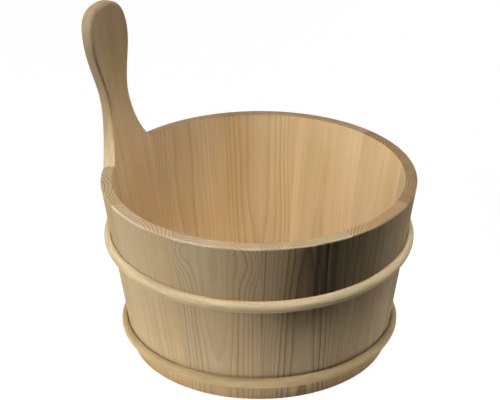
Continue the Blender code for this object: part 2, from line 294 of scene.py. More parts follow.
def round_corner(x, z, size, steps):
    choose_points(lambda p: abs(p.x - x) < SAME_PLACE and abs(p.z - z) < SAME_PLACE)
    bpy.ops.mesh.bevel(offset=size, segments=steps, affect="VERTICES")


def model_stave():
    """Stave on the +X side: the wall's sloping section, its corners rounded, turned through one pitch."""
    piece = flat_section("stave", inner_radius(0), outer_radius(0), 0, WALL_HEIGHT)
    choose_points(lambda p: p.z > WALL_HEIGHT / 2)
    bpy.ops.transform.translate(value=(RIM_RADIUS - FOOT_RADIUS, 0, 0))
    choose_points(lambda p: p.z > WALL_HEIGHT / 2 and p.x < RIM_RADIUS - WALL_THICKNESS / 2)
    bpy.ops.transform.translate(value=(TAPER * (RIM_CREST - WALL_HEIGHT), 0, RIM_CREST - WALL_HEIGHT))
    round_corner(outer_radius(WALL_HEIGHT), WALL_HEIGHT, RIM_OUTER_ROUND, ROUND_STEPS)
    round_corner(inner_radius(RIM_CREST), RIM_CREST, RIM_INNER_ROUND, ROUND_STEPS)
    round_corner(outer_radius(0), 0, FOOT_ROUND, FOOT_STEPS)
    round_corner(inner_radius(0), 0, FOOT_ROUND, FOOT_STEPS)
    turn_sector(STAVE_HALF_ANGLE)
    for height in (GROOVE_FLOOR, GROOVE_CEILING):
        choose_all()
        bpy.ops.mesh.bisect(plane_co=(0, 0, height), plane_no=(0, 0, 1))
    choose_faces(lambda middle, normal: GROOVE_FLOOR < middle.z < GROOVE_CEILING and normal.x < -0.5)
    bpy.ops.mesh.extrude_region_shrink_fatten(
        TRANSFORM_OT_shrink_fatten={"value": -GROOVE_DEPTH, "use_even_offset": True})
    face_outwards()
    leave_edit()
    soften(piece, STAVE_EDGE)
    return piece


def curve(start_point, start_pull, end_pull, end_point):
    """Points of a cubic curve, without its last one."""
    points = []
    for i in range(CURVE_STEPS):
        t = i / CURVE_STEPS
        near = start_point * (1 - t) ** 3 + start_pull * 3 * t * (1 - t) ** 2
        points.append(near + end_pull * 3 * t ** 2 * (1 - t) + end_point * t ** 3)
    return points


def grip_share(z):
    """How far a height belongs to the grip: 0 up to the rim, rising smoothly to 1 at the neck."""
    share = min(max((z - WALL_HEIGHT) / NECK_RISE, 0), 1)
    return share * share * (3 - 2 * share)


def stave_half_width(z):
    """Half width of a stave in the middle of its thickness."""
    return (outer_radius(z) - WALL_THICKNESS / 2) * math.sin(STAVE_HALF_ANGLE)


def handle_outline():
    """Right half of the handle's outline, from the foot to the crest, as (half width, height)."""
    foot, edge, rim = [Vector((stave_half_width(z), z)) for z in (0, FOOT_ROUND, WALL_HEIGHT)]
    neck = Vector((NECK_WIDTH / 2, WALL_HEIGHT + NECK_RISE))
    head = Vector((HEAD_WIDTH / 2, WALL_HEIGHT + HEAD_RISE))
    crest = Vector((0, HANDLE_TOP))
    flare = Vector((-math.sin(FLARE_LEAN), math.cos(FLARE_LEAN))) * WAIST_PULL * NECK_RISE
    below_neck = Vector((0, WAIST_PULL * NECK_RISE))
    above_neck = Vector((0, WAIST_PULL * (HEAD_RISE - NECK_RISE)))
    crown_side = Vector((0, CROWN_PULL * (HANDLE_RISE - HEAD_RISE)))
    crown_top = Vector((CROWN_PULL * HEAD_WIDTH / 2, 0))
    outline = [foot, edge]
    outline += curve(rim, rim + flare, neck - below_neck, neck)
    outline += curve(neck, neck + above_neck, head - above_neck, head)
    outline += curve(head, head + crown_side, crest + crown_top, crest)
    return outline + [crest]


def outward(outline, i):
    """Direction out of the outline at a point; level up to the rim and upright on the crest."""
    if outline[i].y <= WALL_HEIGHT:
        return Vector((1, 0))
    if i == len(outline) - 1:
        return Vector((0, 1))
    along = (outline[i + 1] - outline[i - 1]).normalized()
    return Vector((along.y, -along.x))


def handle_sheet(outline, at_back, turn):
    """Rows of points across the handle, part of the way round its inner or its back edge."""
    sheet = []
    for i, point in enumerate(outline):
        share = grip_share(point.y)
        rounding = HANDLE_EDGE_ROUND + (GRIP_ROUND - HANDLE_EDGE_ROUND) * share
        depth = rounding * (1 - math.cos(turn))
        if at_back:
            depth = WALL_THICKNESS - depth
        if i == 0:
            depth = min(max(depth, FOOT_ROUND), WALL_THICKNESS - FOOT_ROUND)
        edge = point - outward(outline, i) * rounding * (1 - math.sin(turn))
        across = edge.x + (depth - WALL_THICKNESS / 2) * math.sin(STAVE_HALF_ANGLE) * (1 - share)
        reach = inner_radius(edge.y) + depth
        half_turn = math.asin(across / reach)
        for k in range(STAVE_STEPS + 1):
            angle = half_turn * (2 * k / STAVE_STEPS - 1)
            sheet.append(Vector((reach * math.cos(angle), reach * math.sin(angle), edge.y)))
    return sheet


def place_sheet(points):
    """Move the selected sheet, whose points know their order, onto these points."""
    mesh = bpy.context.object.data
    sheet = bmesh.from_edit_mesh(mesh)
    order = sheet.verts.layers.int["order"]
    for point in sheet.verts:
        if point.select:
            point.co = points[point[order]]
    bmesh.update_edit_mesh(mesh)


def model_handle():
    """Handle stave on the +X side: its inner face, extruded round the edges to the back, and grooved."""
    outline = handle_outline()
    turns = [math.pi / 2 * i / ROUND_STEPS for i in range(ROUND_STEPS + 1)]
    stations = [(False, turn) for turn in turns] + [(True, turn) for turn in reversed(turns)]
    start()
    bpy.ops.mesh.primitive_grid_add(x_subdivisions=STAVE_STEPS, y_subdivisions=len(outline) - 1, size=1)
    piece = bpy.context.object
    piece.name = "handle_stave_wood"
    order = piece.data.attributes.new("order", "INT", "POINT")
    order.data.foreach_set("value", range(len(piece.data.vertices)))
    edit(piece)
    choose_all()
    place_sheet(handle_sheet(outline, *stations[0]))
    for station in stations[1:]:
        bpy.ops.mesh.extrude_region_move()
        place_sheet(handle_sheet(outline, *station))
    close_up()
    leave_edit()
    piece.data.attributes.remove(piece.data.attributes["order"])
    cut_out(piece, model_handle_groove())
    shade(piece, HANDLE_SHADING)
    even_shading(piece)
    return piece


def model_handle_groove():
    """Solid that fills the bottom's groove in the handle stave."""
    piece = flat_section("handle_groove", inner_radius(0) - GROOVE_DEPTH, GROOVE_RADIUS,
                         GROOVE_FLOOR, GROOVE_CEILING)
    turn_sector(HALF_PITCH)
    leave_edit()
    return piece


def model_board(number):
    """One board of the round bottom, sawn out of a disc, its edges broken."""
    start()
    bpy.ops.mesh.primitive_cylinder_add(vertices=BOARD_STEPS, radius=BOTTOM_RADIUS, depth=BOTTOM_THICKNESS,
                                        location=(0, 0, BOTTOM_HEIGHT + BOTTOM_THICKNESS / 2))
    piece = bpy.context.object
    piece.name = f"bottom_board_{number + 1}_wood"
    settle(piece)
    edit(piece)
    width = 2 * BOTTOM_RADIUS / BOARD_COUNT
    low = -BOTTOM_RADIUS + number * width + JOINT_GAP / 2
    high = -BOTTOM_RADIUS + (number + 1) * width - JOINT_GAP / 2
    if number > 0:
        choose_all()
        bpy.ops.mesh.bisect(plane_co=(0, low, 0), plane_no=(0, 1, 0), use_fill=True, clear_inner=True)
    if number < BOARD_COUNT - 1:
        choose_all()
        bpy.ops.mesh.bisect(plane_co=(0, high, 0), plane_no=(0, 1, 0), use_fill=True, clear_outer=True)
    face_outwards()
    leave_edit()
    soften(piece, BOARD_EDGE)
    return piece


def hoop_rise(height, tilt, direction):
    """How far a tilted hoop lies above its middle height, in a direction from the axis."""
    return outer_radius(height) * math.tan(tilt) * math.cos(direction - HOOP_HIGH_SIDE)


def askew(tilt, high_side):
    """Turn that lifts the high side of a level ring."""
    to_side = Matrix.Rotation(high_side, 3, "Z")
    return to_side @ Matrix.Rotation(-tilt, 3, "Y") @ to_side.inverted()


def set_askew(piece, height, tilt, high_side):
    """Lift a ring's high side about its middle, and move it that way so that it stays on the wall."""
    outwards = Matrix.Rotation(high_side, 3, "Z") @ Vector((1, 0, 0))
    shift = outwards * TAPER * outer_radius(height) * math.tan(tilt)
    middle = Vector((0, 0, height))
    piece.matrix_world = (Matrix.Translation(middle + shift) @ askew(tilt, high_side).to_4x4()
                          @ Matrix.Translation(-middle))
    settle(piece)


def hoop_section(name, height, width, back):
    """Round section on the +X side, flattened towards the wall and leant to it."""
    front = HOOP_DEPTH - back
    start()
    bpy.ops.mesh.primitive_circle_add(vertices=HOOP_SECTION_STEPS, radius=1, rotation=(math.pi / 2, 0, 0))
    piece = bpy.context.object
    piece.name = name + "_strip"
    settle(piece)
    edit(piece)
    choose_points(lambda p: p.x < -0.001)
    bpy.ops.transform.resize(value=(back / front, 1, 1), center_override=(0, 0, 0))
    leave_edit()
    piece.scale = (front, 1, width / 2)
    settle(piece)
    piece.rotation_euler.y = SLOPE
    stand_off = HOOP_GAP + back
    piece.location = (outer_radius(height) + stand_off * math.cos(SLOPE), 0,
                      height - stand_off * math.sin(SLOPE))
    settle(piece)
    return piece


def model_hoop(name, height, width, back, tilt, turn):
    """Half-round strip turned once round, set askew, and parted and drilled at its scarf on the +X side."""
    piece = hoop_section(name, height, width, back)
    edit(piece)
    choose_all()
    bpy.ops.mesh.spin(steps=HOOP_STEPS, angle=math.tau, center=(0, 0, 0), axis=(0, 0, 1))
    close_up()
    leave_edit()
    set_askew(piece, height, tilt, HOOP_HIGH_SIDE - turn)
    scarf_height = height + hoop_rise(height, tilt, turn)
    cut_out(piece, model_scarf_slot(scarf_height, width))
    for side in (-1, 1):
        cut_out(piece, model_brad_hole(scarf_height, side))
    shade(piece, HOOP_SHADING)
    return piece


def model_scarf_slot(height, width):
    """Thin slanting slot that parts a hoop's two ends."""
    start()
    bpy.ops.mesh.primitive_cube_add(size=1)
    slot = bpy.context.object
    slot.scale = (SCARF_GAP, 3 * HOOP_DEPTH / math.sin(SCARF_ANGLE), 2 * width)
    settle(slot)
    slot.rotation_euler.z = SCARF_ANGLE
    slot.location = (outer_radius(height) + HOOP_GAP + HOOP_DEPTH / 2, 0, height)
    settle(slot)
    return slot


def put_on_hoop(piece, height, side, stand_off):
    """Lay a piece made along Z on a hoop, to one side of the scarf's middle, this far out from the wall."""
    angle = side * BRAD_SPACING / 2 / outer_radius(height)
    out = Vector((math.cos(SLOPE), 0, -math.sin(SLOPE)))
    place = Vector((outer_radius(height), 0, height)) + out * stand_off
    piece.location = Matrix.Rotation(angle, 3, "Z") @ place
    piece.rotation_euler = (0, math.pi / 2 + SLOPE, angle)
    settle(piece)


def model_brad_hole(height, side):
    """Plug that sinks a brad's head into a hoop."""
    start()
    bpy.ops.mesh.primitive_cylinder_add(vertices=BRAD_HOLE_STEPS, radius=BRAD_HEAD_RADIUS + BRAD_HOLE_GAP,
                                        depth=HOOP_DEPTH)
    hole = bpy.context.object
    put_on_hoop(hole, height, side, HOOP_GAP + HOOP_DEPTH - BRAD_HEAD_DEPTH + HOOP_DEPTH / 2)
    return hole


def model_brad(name, height, side):
    """Brad head, slightly domed, sunk in the crest of a hoop."""
    start()
    bpy.ops.mesh.primitive_cylinder_add(vertices=BRAD_STEPS, radius=BRAD_HEAD_RADIUS, depth=BRAD_HEAD_DEPTH)
    piece = bpy.context.object
    piece.name = name + "_head"
    edit(piece)
    choose_faces(lambda middle, normal: normal.z > 0.9)
    for _ in DOME_RINGS:
        bpy.ops.mesh.inset(thickness=BRAD_HEAD_RADIUS * DOME_INSET)
    for near, far, drop in DOME_RINGS:
        choose_points(lambda p: p.z > 0 and near < p.xy.length / BRAD_HEAD_RADIUS < far)
        bpy.ops.transform.translate(value=(0, 0, -BRAD_HEAD_DEPTH * drop))
    leave_edit()
    put_on_hoop(piece, height, side, HOOP_GAP + HOOP_DEPTH - BRAD_HEAD_DEPTH / 2)
    shade(piece, BRAD_SHADING)
    return piece


def to_axis(piece, turn):
    """Turn a piece about the bucket's axis to its place."""
    piece.rotation_euler.z = turn
    piece.location.x = AXIS_X
    settle(piece)


# Nodes of a finish

def node(tree, kind, **settings):
    made = tree.nodes.new(kind)
    for name, value in settings.items():
        setattr(made, name, value)
    return made


def feed(tree, socket, value):
    """Link a socket to an output, or set it to a plain value."""
    if isinstance(value, bpy.types.NodeSocket):
        tree.links.new(value, socket)
    else:
        socket.default_value = value


def calc(tree, operation, *values):
    made = node(tree, "ShaderNodeMath", operation=operation)
    for socket, value in zip(made.inputs, values):
        feed(tree, socket, value)
    return made.outputs[0]


def plus(tree, first, second):
    return calc(tree, "ADD", first, second)


def minus(tree, first, second):
    return calc(tree, "SUBTRACT", first, second)


def times(tree, product, *others):
    for other in others:
        product = calc(tree, "MULTIPLY", product, other)
    return product


def length(tree, x, y):
    return calc(tree, "SQRT", plus(tree, times(tree, x, x), times(tree, y, y)))


def bell(tree, value, middle, width):
    """1 at the middle, falling away smoothly on both sides."""
    aside = calc(tree, "DIVIDE", minus(tree, value, middle), width)
    return calc(tree, "EXPONENT", times(tree, aside, aside, -1.0))


def spread(tree, value, low, high, to_low, to_high, smooth=False):
    """Map a range of values onto another and hold it there."""
    made = node(tree, "ShaderNodeMapRange", interpolation_type="SMOOTHSTEP" if smooth else "LINEAR")
    for name, given in (("Value", value), ("From Min", low), ("From Max", high),
                        ("To Min", to_low), ("To Max", to_high)):
        feed(tree, made.inputs[name], given)
    return made.outputs["Result"]


def rise(tree, value, low, high):
    return spread(tree, value, low, high, 0, 1, True)


def fall(tree, value, low, high):
    return spread(tree, value, low, high, 1, 0, True)


def split(tree, vector):
    made = node(tree, "ShaderNodeSeparateXYZ")
    feed(tree, made.inputs[0], vector)
    return made.outputs


def join(tree, *values):
    made = node(tree, "ShaderNodeCombineXYZ")
    for socket, value in zip(made.inputs, values):
        feed(tree, socket, value)
    return made.outputs[0]


def stretch(tree, vector, amounts):
    made = node(tree, "ShaderNodeVectorMath", operation="MULTIPLY")
    feed(tree, made.inputs[0], vector)
    made.inputs[1].default_value = amounts
    return made.outputs[0]


def noise(tree, vector, seed, detail=2.0, roughness=0.5):
    """Value between about 0 and 1, smooth over one unit of the vector."""
    made = node(tree, "ShaderNodeTexNoise", noise_dimensions="4D")
    feed(tree, made.inputs["Vector"], vector)
    feed(tree, made.inputs["W"], seed)
    made.inputs["Scale"].default_value = 1
    made.inputs["Detail"].default_value = detail
    made.inputs["Roughness"].default_value = roughness
    return made.outputs["Fac"]


def figure(tree, seed, place, waves, shift, detail, roughness=0.5):
    """Noise of a board's own, with these waves per metre along its three directions."""
    return noise(tree, stretch(tree, place, waves), plus(tree, seed, shift), detail, roughness)


def mix(tree, share, first, second, blend="MIX"):
    """Blend two colours; a Mix node's colour sockets are numbers 6 and 7, and 2 among its outputs."""
    made = node(tree, "ShaderNodeMix", data_type="RGBA", blend_type=blend)
    feed(tree, made.inputs["Factor"], share)
    feed(tree, made.inputs[6], first)
    feed(tree, made.inputs[7], second)
    return made.outputs[2]


def tinted(tree, share, colour, tint):
    """Colour seen through a tint, for a share of its strength."""
    return mix(tree, share, colour, mix(tree, 1.0, colour, tint, "MULTIPLY"))


def toned(tree, colour, value, saturation=1.0):
    made = node(tree, "ShaderNodeHueSaturation")
    feed(tree, made.inputs["Color"], colour)
    feed(tree, made.inputs["Value"], value)
    feed(tree, made.inputs["Saturation"], saturation)
    return made.outputs["Color"]


def group(name, inputs, outputs):
    """New node group with float or vector inputs and their first values."""
    tree = bpy.data.node_groups.new(name, "ShaderNodeTree")
    for label, value in inputs.items():
        kind = "NodeSocketVector" if value is None else "NodeSocketFloat"
        socket = tree.interface.new_socket(label, in_out="INPUT", socket_type=kind)
        if value is not None:
            socket.default_value = value
    for label, kind in outputs.items():
        tree.interface.new_socket(label, in_out="OUTPUT", socket_type=kind)
    return tree, node(tree, "NodeGroupInput").outputs, node(tree, "NodeGroupOutput").inputs


def new_material(name):
    material = bpy.data.materials.new(name)
    material.use_nodes = True
    tree = material.node_tree
    return material, tree, tree.nodes["Principled BSDF"]


def own_place(tree, turn, location=(AXIS_X, 0, 0)):
    """Object coordinates, moved to the bucket's axis and turned as the piece is."""
    coordinates = node(tree, "ShaderNodeTexCoord")
    mapping = node(tree, "ShaderNodeMapping", vector_type="TEXTURE")
    mapping.inputs["Location"].default_value = location
    mapping.inputs["Rotation"].default_value = turn
    feed(tree, mapping.inputs["Vector"], coordinates.outputs["Object"])
    return mapping.outputs["Vector"]


def raise_grain(tree, shader, height, strength, distance):
    """Let the grain stand up a little from the surface."""
    raised = node(tree, "ShaderNodeBump")
    raised.inputs["Strength"].default_value = strength
    raised.inputs["Distance"].default_value = distance
    feed(tree, raised.inputs["Height"], height)
    feed(tree, shader.inputs["Normal"], raised.outputs["Normal"])


# Colours of the wood and the steel
EARLY_WOOD = (0.65, 0.495, 0.292, 1)
LATE_WOOD = (0.26, 0.16, 0.07, 1)
END_EARLY = (0.405, 0.305, 0.190, 1)
END_LATE = (0.25, 0.175, 0.097, 1)
END_WARM = (1.0, 0.88, 0.74, 1)
INSIDE = (0.97, 0.93, 0.83, 1)
DAMP = (0.86, 0.70, 0.52, 1)
# Dark tint of a stain that is partly painted shade, also used for the painted shade under the upper hoop
STAIN_AND_SHADE = (0.19, 0.195, 0.215, 1)
# Pale colour of a painted highlight along the rim's outer edge
RIM_HIGHLIGHT = (0.66, 0.555, 0.385, 1)
UPPER_HOOP_PALE = (0.86, 0.70, 0.44, 1)
UPPER_HOOP_DARK = (0.70, 0.53, 0.30, 1)
LOWER_HOOP_PALE = (0.79, 0.60, 0.34, 1)
LOWER_HOOP_DARK = (0.62, 0.44, 0.23, 1)
STEEL = (0.50, 0.49, 0.47, 1)
RUST = (0.28, 0.22, 0.17, 1)

# Growth rings: sway in metres, with waves per metre, seed and detail of its noise, then parts of a year
RING_SWAYS = ((0.008, (16, 16, 6), 0.0, 1), (0.0018, (80, 80, 14), 7.3, 2))
KNOT_WIDTH = 0.011
KNOT_HEIGHT = 0.021
YEAR_CONTRAST = 1.3
WEAKEST_YEAR = 0.15
LATE_SHARPNESS = 3.4
LATE_END = (0.86, 1.0)
END_RING_START = (0.25, 0.75)
END_RING_END = (0.85, 1.0)
END_RING_STRENGTH = (0, 0.7, 0.55, 1)
INSIDE_RING_DEPTH = 0.7

# Figure of the pine: waves per metre, seed, detail and roughness of each noise, then what it does to the look
FIBRES = ((900, 900, 16), 3.1, 3, 0.6)
STREAKS = ((120, 120, 3), 5.7, 2)
PATCHES = ((22, 22, 9), 11.9, 2)
# The blots break up the stain that is partly painted shade
STAIN_AND_SHADE_BLOTS = ((260, 260, 4), 17.3, 2)
FIBRE_TONE = (0.2, 0.8, 0.92, 1.06)
STREAK_TONE = (0.25, 0.75, 0.92, 1.06)
PATCH_TONE = (0.25, 0.75, 0.92, 1.07)
PATCH_SATURATION = (0.25, 0.75, 1.12, 0.92)
STAIN_AND_SHADE_BLOT_DEPTH = (0.35, 0.62, 0.65, 1.15)
PINE_ROUGHNESS = (0, 1, 0.62, 0.52)
PINE_SHINE = 0.02
PINE_RELIEF = (0.35, 0.0004)
LATE_HEIGHT = 0.5
FIBRE_HEIGHT = 0.7

# Figure of the hoops: fineness per metre, waves to the radian, seed and detail, then what it does to the look
HOOP_STRANDS = (900, 6, 0, 3)
HOOP_BANDS = (220, 2.5, 4, 2)
HOOP_PATCHES = (60, 5, 9, 2)
STRAND_TONE = (0.2, 0.8, 0.84, 1.10)
STRAND_ROUGHNESS = (0.2, 0.8, 0.70, 0.58)
BAND_DARKNESS = (0.3, 0.75, 0, 1)
HOOP_PATCH_TONE = (0.25, 0.75, 0.92, 1.06)
HOOP_SHINE = 0.03
HOOP_RELIEF = (0.3, 0.0005)

# Specks on the steel
SPECKS = ((1500, 1500, 1500), 2.0, 3)
SPECK_RUST = (0.45, 0.7, 0, 1)
SPECK_ROUGHNESS = (0.3, 0.7, 0.28, 0.5)

# Where marks, painted shade and a painted highlight begin and end: heights on the wall, depths under the rim
# and distances from the wall's faces
DAMP_FADE = (0.008, 0.022, 0.8, 0)
DAMP_WAVE = 0.012
# The stain, partly painted shade, grows from the first height to the second
STAIN_AND_SHADE_RISE = (0.052, 0.104)
# Painted shade under the upper hoop: heights where it rises, and where it stops at the hoop
HOOP_SHADE_RISE = (0.045, 0.0905, 0, 1)
HOOP_SHADE_TOP = (0.094, 0.099)
# Darkening towards the top of the handle: from and to these heights, and how much
HANDLE_TOP_DARKENING = (WALL_HEIGHT - 0.01, HANDLE_TOP - 0.03, 0, 0.40)
END_SKIN = (-0.0009, -0.0002)
# Painted highlight along the rim's outer edge: depths under the rim, distances in from the outer face, and
# its patchiness
RIM_HIGHLIGHT_DEPTH = (-0.0018, -0.0009)
RIM_HIGHLIGHT_FACE = (FOOT_RADIUS - 0.0018, FOOT_RADIUS - 0.0009)
RIM_HIGHLIGHT_PATCHES = (0.35, 0.65, 0.15, 1.0)
INNER_FACE = (FOOT_RADIUS - WALL_THICKNESS + 0.001, FOOT_RADIUS - 0.002)


# Finishes

def ring_distance(tree, given, x, y, z):
    """Distance from the leaning pith of the log, swayed a little and swung round each knot."""
    out = minus(tree, minus(tree, x, given["Pith out"]), times(tree, z, given["Lean out"]))
    across = minus(tree, minus(tree, y, given["Pith across"]), times(tree, z, given["Lean across"]))
    distance = length(tree, out, across)
    for sway, *pattern in RING_SWAYS:
        wave = figure(tree, given["Seed"], given["Board"], *pattern)
        distance = calc(tree, "MULTIPLY_ADD", minus(tree, wave, 0.5), sway, distance)
    for knot in ("Knot", "Second knot"):
        swing = times(tree, bell(tree, y, given[knot + " across"], KNOT_WIDTH),
                      bell(tree, z, given[knot + " height"], KNOT_HEIGHT), given[knot + " depth"])
        distance = plus(tree, distance, swing)
    return distance


def growth_rings(tree, given, distance):
    """Late lines of the long grain and rings of the end grain, each year with a strength of its own."""
    years = calc(tree, "DIVIDE", distance, given["Ring width"])
    part = calc(tree, "FRACT", years)
    chance = node(tree, "ShaderNodeTexWhiteNoise", noise_dimensions="1D")
    feed(tree, chance.inputs["W"], plus(tree, calc(tree, "FLOOR", years), given["Seed"]))
    luck = calc(tree, "POWER", chance.outputs["Value"], YEAR_CONTRAST)
    strength = spread(tree, luck, 0, 1, WEAKEST_YEAR, 1)
    late = times(tree, calc(tree, "POWER", part, LATE_SHARPNESS), fall(tree, part, *LATE_END), strength)
    ring = times(tree, rise(tree, part, *END_RING_START), fall(tree, part, *END_RING_END),
                 spread(tree, strength, *END_RING_STRENGTH))
    return late, ring


def stained_and_shaded(tree, given, colour, grain, outside, y, z):
    """Dark streaky patch on the outer face, partly stain and partly painted shade, and painted shade under
    the upper hoop.
    """
    stain_and_shade_blot = figure(tree, given["Seed"], grain, *STAIN_AND_SHADE_BLOTS)
    stain_and_shade_share = times(tree, bell(tree, y, given["Stain and shade across"], given["Stain and shade width"]),
                  rise(tree, z, *STAIN_AND_SHADE_RISE), spread(tree, stain_and_shade_blot, *STAIN_AND_SHADE_BLOT_DEPTH), outside, given["Stain and shade depth"])
    # Painted shade of the upper hoop on the wall below it
    under = spread(tree, z, *HOOP_SHADE_RISE)
    hoop_shade = times(tree, bell(tree, y, given["Hoop shade across"], given["Hoop shade width"]),
                 under, under, fall(tree, z, *HOOP_SHADE_TOP), outside, given["Hoop shade depth"])
    return tinted(tree, hoop_shade, tinted(tree, stain_and_shade_share, colour, STAIN_AND_SHADE), STAIN_AND_SHADE)


def pine_group():
    """Softwood sawn from a log: growth rings about a pith, fibres along Z, end grain at the rim and marks,
    with painted shade on the outer face and a painted highlight along the rim's outer edge.
    """
    tree, given, result = group("pine_wood", {
        "Board": None, "Pith out": 0.03, "Pith across": 0.0, "Lean out": 0.0, "Lean across": 0.0,
        "Ring width": 0.0026, "Ring depth": 0.6, "Tone": 1.0, "Seed": 0.0, "Slope": 0.0,
        "End height": 1.0, "End tone and shade": 1.0, "End warmth": 0.0, "Inside": 0.0, "Damp": 0.0,
        "Knot across": 0.0, "Knot height": 0.0, "Knot depth": 0.0,
        "Second knot across": 0.0, "Second knot height": 0.0, "Second knot depth": 0.0,
        "Stain and shade across": 0.0, "Stain and shade width": 0.015, "Stain and shade depth": 0.0,
        "Hoop shade across": 0.0, "Hoop shade width": 0.024, "Hoop shade depth": 0.0, "Grip": 0.0, "Wear": 0.0,
    }, {"Color": "NodeSocketColor", "Roughness": "NodeSocketFloat", "Height": "NodeSocketFloat"})
    x, y, z = split(tree, given["Board"])
    grain = join(tree, minus(tree, x, times(tree, z, given["Slope"])), y, z)
    late, ring = growth_rings(tree, given, ring_distance(tree, given, x, y, z))
    fibre, streak, patch = [figure(tree, given["Seed"], grain, *pattern)
                            for pattern in (FIBRES, STREAKS, PATCHES)]

    radius = length(tree, x, y)
    depth = calc(tree, "MULTIPLY_ADD", radius, math.tan(RIM_TILT), minus(tree, z, given["End height"]))
    end = rise(tree, depth, *END_SKIN)
    level = calc(tree, "MULTIPLY_ADD", z, -TAPER, radius)
    inner = fall(tree, level, *INNER_FACE)
    inside = times(tree, inner, given["Inside"])

    line = times(tree, late, given["Ring depth"], spread(tree, inside, 0, 1, 1, INSIDE_RING_DEPTH))
    colour = tinted(tree, inside, mix(tree, line, EARLY_WOOD, LATE_WOOD), INSIDE)
    damp = spread(tree, calc(tree, "MULTIPLY_ADD", patch, DAMP_WAVE, z), *DAMP_FADE, True)
    colour = tinted(tree, times(tree, damp, given["Damp"]), colour, DAMP)
    # Stain that is partly painted shade, and painted shade under the upper hoop, on the outer face
    colour = stained_and_shaded(tree, given, colour, grain, minus(tree, 1.0, inner), y, z)
    colour = mix(tree, end, colour, mix(tree, ring, END_EARLY, END_LATE))
    colour = tinted(tree, times(tree, end, given["End warmth"]), colour, END_WARM)
    # Painted highlight along the rim's outer edge, strongest on staves 1 to 4
    edge = times(tree, rise(tree, level, *RIM_HIGHLIGHT_FACE), rise(tree, depth, *RIM_HIGHLIGHT_DEPTH),
                 spread(tree, patch, *RIM_HIGHLIGHT_PATCHES), given["Wear"])
    colour = mix(tree, edge, colour, RIM_HIGHLIGHT)

    # Darker towards the top of the handle
    upward_darkening = times(tree, spread(tree, z, *HANDLE_TOP_DARKENING), given["Grip"])
    # The end tone also sets the rim lighter on some staves and darker on others: painted light and shade
    value = times(tree, spread(tree, streak, *STREAK_TONE), spread(tree, fibre, *FIBRE_TONE),
                  spread(tree, patch, *PATCH_TONE), minus(tree, given["Tone"], upward_darkening),
                  spread(tree, end, 0, 1, 1, given["End tone and shade"]))
    feed(tree, result["Color"], toned(tree, colour, value, spread(tree, patch, *PATCH_SATURATION)))
    feed(tree, result["Roughness"], spread(tree, late, *PINE_ROUGHNESS))
    relief = calc(tree, "MULTIPLY_ADD", late, LATE_HEIGHT, times(tree, fibre, FIBRE_HEIGHT))
    feed(tree, result["Height"], relief)
    return tree


PINE = pine_group()


def pine_material(name, turn, **settings):
    """Pine with settings of its own; a setting such as ring_width fills the input Ring width."""
    material, tree, shader = new_material(name)
    wood = node(tree, "ShaderNodeGroup", node_tree=PINE)
    feed(tree, wood.inputs["Board"], own_place(tree, turn))
    for label, value in settings.items():
        wood.inputs[label.replace("_", " ").capitalize()].default_value = value
    feed(tree, shader.inputs["Base Color"], wood.outputs["Color"])
    feed(tree, shader.inputs["Roughness"], wood.outputs["Roughness"])
    shader.inputs["Specular IOR Level"].default_value = PINE_SHINE
    raise_grain(tree, shader, wood.outputs["Height"], *PINE_RELIEF)
    return material


def hoop_material(name, height, tilt, pale, dark, seed):
    """Peeled bent wood: fibres that run round the ring, in a pale straw colour."""
    material, tree, shader = new_material(name)
    turn = askew(tilt, HOOP_HIGH_SIDE).to_euler()
    x, y, z = split(tree, own_place(tree, turn, (AXIS_X, 0, height)))
    radius = length(tree, x, y)

    def along(fineness, waves, shift, detail):
        """Noise in strands along the ring."""
        across = calc(tree, "MULTIPLY_ADD", radius, fineness, seed + shift)
        point = join(tree, across, times(tree, z, fineness),
                     times(tree, calc(tree, "DIVIDE", x, radius), waves))
        return noise(tree, point, times(tree, calc(tree, "DIVIDE", y, radius), waves), detail)

    strand = along(*HOOP_STRANDS)
    band = along(*HOOP_BANDS)
    patch = along(*HOOP_PATCHES)
    value = times(tree, spread(tree, strand, *STRAND_TONE), spread(tree, patch, *HOOP_PATCH_TONE))
    colour = mix(tree, spread(tree, band, *BAND_DARKNESS), pale, dark)
    feed(tree, shader.inputs["Base Color"], toned(tree, colour, value))
    feed(tree, shader.inputs["Roughness"], spread(tree, strand, *STRAND_ROUGHNESS))
    shader.inputs["Specular IOR Level"].default_value = HOOP_SHINE
    raise_grain(tree, shader, strand, *HOOP_RELIEF)
    return material


def steel_material():
    """Dull steel with specks of rust."""
    material, tree, shader = new_material("brad_steel")
    waves, seed, detail = SPECKS
    specks = noise(tree, stretch(tree, own_place(tree, (0, 0, 0)), waves), seed, detail)
    feed(tree, shader.inputs["Base Color"], mix(tree, spread(tree, specks, *SPECK_RUST), STEEL, RUST))
    feed(tree, shader.inputs["Roughness"], spread(tree, specks, *SPECK_ROUGHNESS))
    shader.inputs["Metallic"].default_value = 1
    return material


def dress(piece, material, replaced):
    """Give a piece its finish and let it stand for its CAD node."""
    piece.data.materials.clear()
    piece.data.materials.append(material)
    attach(piece, "root")
    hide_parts(replaced)


# Wall, with each stave's own wood; the pith is measured from the axis at the foot
# One setting of each stave paints a highlight along the rim's outer edge
STAVE_SETTINGS = ("pith_out", "pith_across", "lean_out", "lean_across", "ring_width", "ring_depth", "tone",
                  "end_tone_and_shade", "end_warmth", "inside", "damp", "wear", "seed")
